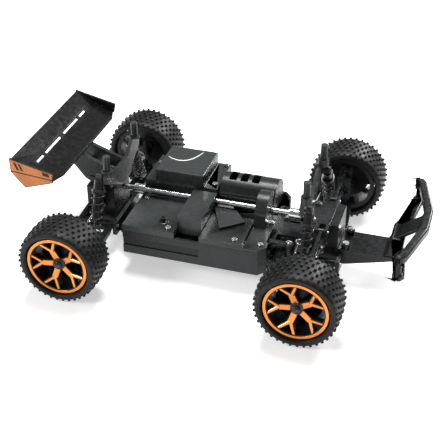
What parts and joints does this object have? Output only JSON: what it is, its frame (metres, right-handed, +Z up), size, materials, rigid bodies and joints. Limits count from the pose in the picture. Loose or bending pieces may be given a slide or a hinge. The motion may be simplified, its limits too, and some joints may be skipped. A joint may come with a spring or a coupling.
{
  "type": "radio-controlled buggy chassis",
  "caption": "Small-scale four-wheel-drive radio-controlled off-road buggy without its body shell, with working steering, suspension and drive line.",
  "frame": {"origin": "on the floor under the middle of the overall length, on the centreline", "axes": "+X forwards to the bumper, +Y to the driver's left, +Z up"},
  "size_m": [0.3014, 0.2, 0.091],
  "materials": {
    "chassis_plastic": "satin black moulded nylon",
    "cover_plastic": "satin black-olive moulded cover",
    "tower_plastic": "satin dark grey moulding",
    "bright_steel": "bright ground steel",
    "rod_steel": "ground rod",
    "shock_plastic": "semi-gloss black",
    "spring_steel": "black oiled spring steel",
    "rim_orange": "metallic orange plated rim over black",
    "tyre_rubber": "soft black rubber",
    "gear_steel": "sintered steel",
    "motor_steel": "rolled can",
    "battery_wrap": "shrink wrap",
    "wing_plastic": "gloss black with orange end",
    "screw_steel": "zinc-plated"
  },
  "bodies": {
    "root": {"chassis_tub": "chassis_plastic", "gearbox_front": "chassis_plastic", "gearbox_rear": "chassis_plastic", "shock_tower_front": "tower_plastic", "shock_tower_rear": "tower_plastic", "battery_pack": "battery_wrap", "steering_servo": "chassis_plastic", "battery_cover": "cover_plastic", "electronics_cover": "cover_plastic", "main_cover": "cover_plastic", "motor_cover": "cover_plastic", "drive_motor": "motor_steel", "rear_wing": "wing_plastic", "bumper": "chassis_plastic", "nose_plate": "chassis_plastic", "screws_and_pins": "screw_steel", "coil_springs": "spring_steel"},
    "arm_fl": {"lower_arm_fl": "chassis_plastic"},
    "hub_fl": {"hub_carrier_fl": "chassis_plastic"},
    "link_fl": {"upper_link_fl": "chassis_plastic"},
    "shock_body_fl": {"shock_body_fl": "shock_plastic"},
    "shock_rod_fl": {"shock_rod_fl": "rod_steel"},
    "drive_shaft_fl": {"drive_shaft_fl": "bright_steel"},
    "knuckle_fl": {"steering_knuckle_fl": "chassis_plastic"},
    "wheel_fl": {"rim_fl": "rim_orange", "tyre_fl": "tyre_rubber"},
    "arm_fr": {"lower_arm_fr": "chassis_plastic"},
    "hub_fr": {"hub_carrier_fr": "chassis_plastic"},
    "link_fr": {"upper_link_fr": "chassis_plastic"},
    "shock_body_fr": {"shock_body_fr": "shock_plastic"},
    "shock_rod_fr": {"shock_rod_fr": "rod_steel"},
    "drive_shaft_fr": {"drive_shaft_fr": "bright_steel"},
    "knuckle_fr": {"steering_knuckle_fr": "chassis_plastic"},
    "wheel_fr": {"rim_fr": "rim_orange", "tyre_fr": "tyre_rubber"},
    "arm_rl": {"lower_arm_rl": "chassis_plastic"},
    "hub_rl": {"rear_upright_rl": "chassis_plastic"},
    "link_rl": {"upper_link_rl": "chassis_plastic"},
    "shock_body_rl": {"shock_body_rl": "shock_plastic"},
    "shock_rod_rl": {"shock_rod_rl": "rod_steel"},
    "drive_shaft_rl": {"drive_shaft_rl": "bright_steel"},
    "wheel_rl": {"rim_rl": "rim_orange", "tyre_rl": "tyre_rubber"},
    "arm_rr": {"lower_arm_rr": "chassis_plastic"},
    "hub_rr": {"rear_upright_rr": "chassis_plastic"},
    "link_rr": {"upper_link_rr": "chassis_plastic"},
    "shock_body_rr": {"shock_body_rr": "shock_plastic"},
    "shock_rod_rr": {"shock_rod_rr": "rod_steel"},
    "drive_shaft_rr": {"drive_shaft_rr": "bright_steel"},
    "wheel_rr": {"rim_rr": "rim_orange", "tyre_rr": "tyre_rubber"},
    "crank_left": {"steering_crank_left": "chassis_plastic"},
    "crank_right": {"steering_crank_right": "chassis_plastic"},
    "relay": {"steering_relay": "chassis_plastic"},
    "tie_rod_fl": {"tie_rod_fl": "bright_steel"},
    "tie_rod_fr": {"tie_rod_fr": "bright_steel"},
    "diff_front": {"front_differential": "gear_steel"},
    "diff_rear": {"rear_differential": "gear_steel"},
    "centre_shaft": {"centre_shaft": "bright_steel"},
    "motor_pinion": {"motor_pinion": "gear_steel"}
  },
  "joints": [
    {"name": "suspension_fl", "type": "hinge", "parent": "root", "child": "arm_fl", "pos_m": [0.07525, 0.022, 0.021], "axis": [1, 0, 0], "range_deg": [-10, 10], "stiffness_Nm_per_rad": 0.8, "springref_deg": -3.52},
    {"name": "hub_swing_fl", "type": "hinge", "parent": "arm_fl", "child": "hub_fl", "pos_m": [0.07525, 0.072, 0.018], "axis": [1, 0, 0], "range_deg": [-11, 11]},
    {"name": "link_swing_fl", "type": "hinge", "parent": "root", "child": "link_fl", "pos_m": [0.07525, 0.022, 0.047], "axis": [1, 0, 0], "range_deg": [-11, 11]},
    {"name": "shock_swing_fl", "type": "hinge", "parent": "root", "child": "shock_body_fl", "pos_m": [0.06775, 0.03, 0.068], "axis": [1, 0, 0], "range_deg": [-4, 4]},
    {"name": "shock_stroke_fl", "type": "slide", "parent": "shock_body_fl", "child": "shock_rod_fl", "axis": [0, -0.411, 0.9116], "range_m": [-0.006, 0.006], "deforming": ["coil_springs"]},
    {"name": "shaft_spin_fl", "type": "hinge", "parent": "arm_fl", "child": "drive_shaft_fl", "pos_m": [0.07525, 0.022, 0.034], "axis": [0, 0.9982, -0.0599], "continuous": true},
    {"name": "knuckle_fl", "type": "hinge", "parent": "hub_fl", "child": "knuckle_fl", "pos_m": [0.07525, 0.072, 0.031], "axis": [0, 0, 1], "range_deg": [-23, 23]},
    {"name": "wheel_fl", "type": "hinge", "parent": "knuckle_fl", "child": "wheel_fl", "pos_m": [0.07525, 0.08525, 0.031], "axis": [0, 1, 0], "continuous": true},
    {"name": "suspension_fr", "type": "hinge", "parent": "root", "child": "arm_fr", "pos_m": [0.07525, -0.022, 0.021], "axis": [-1, 0, 0], "range_deg": [-10, 10], "stiffness_Nm_per_rad": 0.8, "springref_deg": -3.52},
    {"name": "hub_swing_fr", "type": "hinge", "parent": "arm_fr", "child": "hub_fr", "pos_m": [0.07525, -0.072, 0.018], "axis": [-1, 0, 0], "range_deg": [-11, 11]},
    {"name": "link_swing_fr", "type": "hinge", "parent": "root", "child": "link_fr", "pos_m": [0.07525, -0.022, 0.047], "axis": [-1, 0, 0], "range_deg": [-11, 11]},
    {"name": "shock_swing_fr", "type": "hinge", "parent": "root", "child": "shock_body_fr", "pos_m": [0.06775, -0.03, 0.068], "axis": [-1, 0, 0], "range_deg": [-4, 4]},
    {"name": "shock_stroke_fr", "type": "slide", "parent": "shock_body_fr", "child": "shock_rod_fr", "axis": [0, 0.411, 0.9116], "range_m": [-0.006, 0.006]},
    {"name": "shaft_spin_fr", "type": "hinge", "parent": "arm_fr", "child": "drive_shaft_fr", "pos_m": [0.07525, -0.022, 0.034], "axis": [0, 0.9982, 0.0599], "continuous": true},
    {"name": "knuckle_fr", "type": "hinge", "parent": "hub_fr", "child": "knuckle_fr", "pos_m": [0.07525, -0.072, 0.031], "axis": [0, 0, 1], "range_deg": [-23, 23]},
    {"name": "wheel_fr", "type": "hinge", "parent": "knuckle_fr", "child": "wheel_fr", "pos_m": [0.07525, -0.08525, 0.031], "axis": [0, 1, 0], "continuous": true},
    {"name": "suspension_rl", "type": "hinge", "parent": "root", "child": "arm_rl", "pos_m": [-0.10075, 0.022, 0.021], "axis": [1, 0, 0], "range_deg": [-10, 10], "stiffness_Nm_per_rad": 0.8, "springref_deg": -2.96},
    {"name": "hub_swing_rl", "type": "hinge", "parent": "arm_rl", "child": "hub_rl", "pos_m": [-0.10075, 0.072, 0.018], "axis": [1, 0, 0], "range_deg": [-11, 11]},
    {"name": "link_swing_rl", "type": "hinge", "parent": "root", "child": "link_rl", "pos_m": [-0.10075, 0.022, 0.047], "axis": [1, 0, 0], "range_deg": [-11, 11]},
    {"name": "shock_swing_rl", "type": "hinge", "parent": "root", "child": "shock_body_rl", "pos_m": [-0.09325, 0.03, 0.068], "axis": [1, 0, 0], "range_deg": [-4, 4]},
    {"name": "shock_stroke_rl", "type": "slide", "parent": "shock_body_rl", "child": "shock_rod_rl", "axis": [0, -0.411, 0.9116], "range_m": [-0.006, 0.006]},
    {"name": "shaft_spin_rl", "type": "hinge", "parent": "arm_rl", "child": "drive_shaft_rl", "pos_m": [-0.10075, 0.022, 0.034], "axis": [0, 0.9982, -0.0599], "continuous": true},
    {"name": "wheel_rl", "type": "hinge", "parent": "hub_rl", "child": "wheel_rl", "pos_m": [-0.10075, 0.08525, 0.031], "axis": [0, 1, 0], "continuous": true},
    {"name": "suspension_rr", "type": "hinge", "parent": "root", "child": "arm_rr", "pos_m": [-0.10075, -0.022, 0.021], "axis": [-1, 0, 0], "range_deg": [-10, 10], "stiffness_Nm_per_rad": 0.8, "springref_deg": -2.96},
    {"name": "hub_swing_rr", "type": "hinge", "parent": "arm_rr", "child": "hub_rr", "pos_m": [-0.10075, -0.072, 0.018], "axis": [-1, 0, 0], "range_deg": [-11, 11]},
    {"name": "link_swing_rr", "type": "hinge", "parent": "root", "child": "link_rr", "pos_m": [-0.10075, -0.022, 0.047], "axis": [-1, 0, 0], "range_deg": [-11, 11]},
    {"name": "shock_swing_rr", "type": "hinge", "parent": "root", "child": "shock_body_rr", "pos_m": [-0.09325, -0.03, 0.068], "axis": [-1, 0, 0], "range_deg": [-4, 4]},
    {"name": "shock_stroke_rr", "type": "slide", "parent": "shock_body_rr", "child": "shock_rod_rr", "axis": [0, 0.411, 0.9116], "range_m": [-0.006, 0.006]},
    {"name": "shaft_spin_rr", "type": "hinge", "parent": "arm_rr", "child": "drive_shaft_rr", "pos_m": [-0.10075, -0.022, 0.034], "axis": [0, 0.9982, 0.0599], "continuous": true},
    {"name": "wheel_rr", "type": "hinge", "parent": "hub_rr", "child": "wheel_rr", "pos_m": [-0.10075, -0.08525, 0.031], "axis": [0, 1, 0], "continuous": true},
    {"name": "steering", "type": "hinge", "parent": "root", "child": "crank_left", "pos_m": [0.05225, 0.023, 0.031], "axis": [0, 0, 1], "range_deg": [-22, 22]},
    {"name": "idler_crank", "type": "hinge", "parent": "root", "child": "crank_right", "pos_m": [0.05225, -0.023, 0.031], "axis": [0, 0, 1], "range_deg": [-23, 23]},
    {"name": "relay_turn", "type": "hinge", "parent": "crank_left", "child": "relay", "pos_m": [0.03675, 0.023, 0.031], "axis": [0, 0, 1], "range_deg": [-23, 23]},
    {"name": "tie_rod_swing_fl", "type": "hinge", "parent": "relay", "child": "tie_rod_fl", "pos_m": [0.05975, 0.022, 0.034], "axis": [1, 0, 0], "range_deg": [-11, 11]},
    {"name": "tie_rod_swing_fr", "type": "hinge", "parent": "relay", "child": "tie_rod_fr", "pos_m": [0.05975, -0.022, 0.034], "axis": [-1, 0, 0], "range_deg": [-11, 11]},
    {"name": "diff_front", "type": "hinge", "parent": "root", "child": "diff_front", "pos_m": [0.07525, 0, 0.034], "axis": [0, 1, 0], "continuous": true},
    {"name": "diff_rear", "type": "hinge", "parent": "root", "child": "diff_rear", "pos_m": [-0.10075, 0, 0.034], "axis": [0, 1, 0], "continuous": true},
    {"name": "centre_shaft_spin", "type": "hinge", "parent": "root", "child": "centre_shaft", "pos_m": [-0.01275, 0, 0.044], "axis": [1, 0, 0], "continuous": true},
    {"name": "motor_spin", "type": "hinge", "parent": "root", "child": "motor_pinion", "pos_m": [0.02725, 0.01673, 0.04], "axis": [1, 0, 0], "continuous": true}
  ],
  "couplings": [
    {"joint": "hub_swing_fl", "follows": "suspension_fl", "ratio": -1},
    {"joint": "link_swing_fl", "follows": "suspension_fl", "ratio": 1},
    {"joint": "shock_swing_fl", "follows": "suspension_fl", "ratio": 0.2587},
    {"joint": "shock_stroke_fl", "follows": "suspension_fl", "m_per_rad": 0.026552},
    {"joint": "hub_swing_fr", "follows": "suspension_fr", "ratio": -1},
    {"joint": "link_swing_fr", "follows": "suspension_fr", "ratio": 1},
    {"joint": "shock_swing_fr", "follows": "suspension_fr", "ratio": 0.2587},
    {"joint": "shock_stroke_fr", "follows": "suspension_fr", "m_per_rad": 0.026552},
    {"joint": "hub_swing_rl", "follows": "suspension_rl", "ratio": -1},
    {"joint": "link_swing_rl", "follows": "suspension_rl", "ratio": 1},
    {"joint": "shock_swing_rl", "follows": "suspension_rl", "ratio": 0.2587},
    {"joint": "shock_stroke_rl", "follows": "suspension_rl", "m_per_rad": 0.026552},
    {"joint": "hub_swing_rr", "follows": "suspension_rr", "ratio": -1},
    {"joint": "link_swing_rr", "follows": "suspension_rr", "ratio": 1},
    {"joint": "shock_swing_rr", "follows": "suspension_rr", "ratio": 0.2587},
    {"joint": "shock_stroke_rr", "follows": "suspension_rr", "m_per_rad": 0.026552},
    {"joint": "idler_crank", "follows": "steering", "ratio": 1},
    {"joint": "relay_turn", "follows": "steering", "ratio": -1},
    {"joint": "tie_rod_swing_fl", "follows": "suspension_fl", "ratio": 1},
    {"joint": "knuckle_fl", "follows": "steering", "ratio": 1},
    {"joint": "tie_rod_swing_fr", "follows": "suspension_fr", "ratio": 1},
    {"joint": "knuckle_fr", "follows": "steering", "ratio": 1},
    {"joint": "wheel_fl", "follows": "wheel_rl", "ratio": 1},
    {"joint": "wheel_fr", "follows": "wheel_rl", "ratio": 1},
    {"joint": "wheel_rr", "follows": "wheel_rl", "ratio": 1},
    {"joint": "shaft_spin_fl", "follows": "wheel_rl", "ratio": 1},
    {"joint": "shaft_spin_fr", "follows": "wheel_rl", "ratio": 1},
    {"joint": "shaft_spin_rl", "follows": "wheel_rl", "ratio": 1},
    {"joint": "shaft_spin_rr", "follows": "wheel_rl", "ratio": 1},
    {"joint": "diff_front", "follows": "wheel_rl", "ratio": 1},
    {"joint": "diff_rear", "follows": "wheel_rl", "ratio": 1},
    {"joint": "centre_shaft_spin", "follows": "wheel_rl", "ratio": 3},
    {"joint": "motor_spin", "follows": "wheel_rl", "ratio": -5.6}
  ]
}
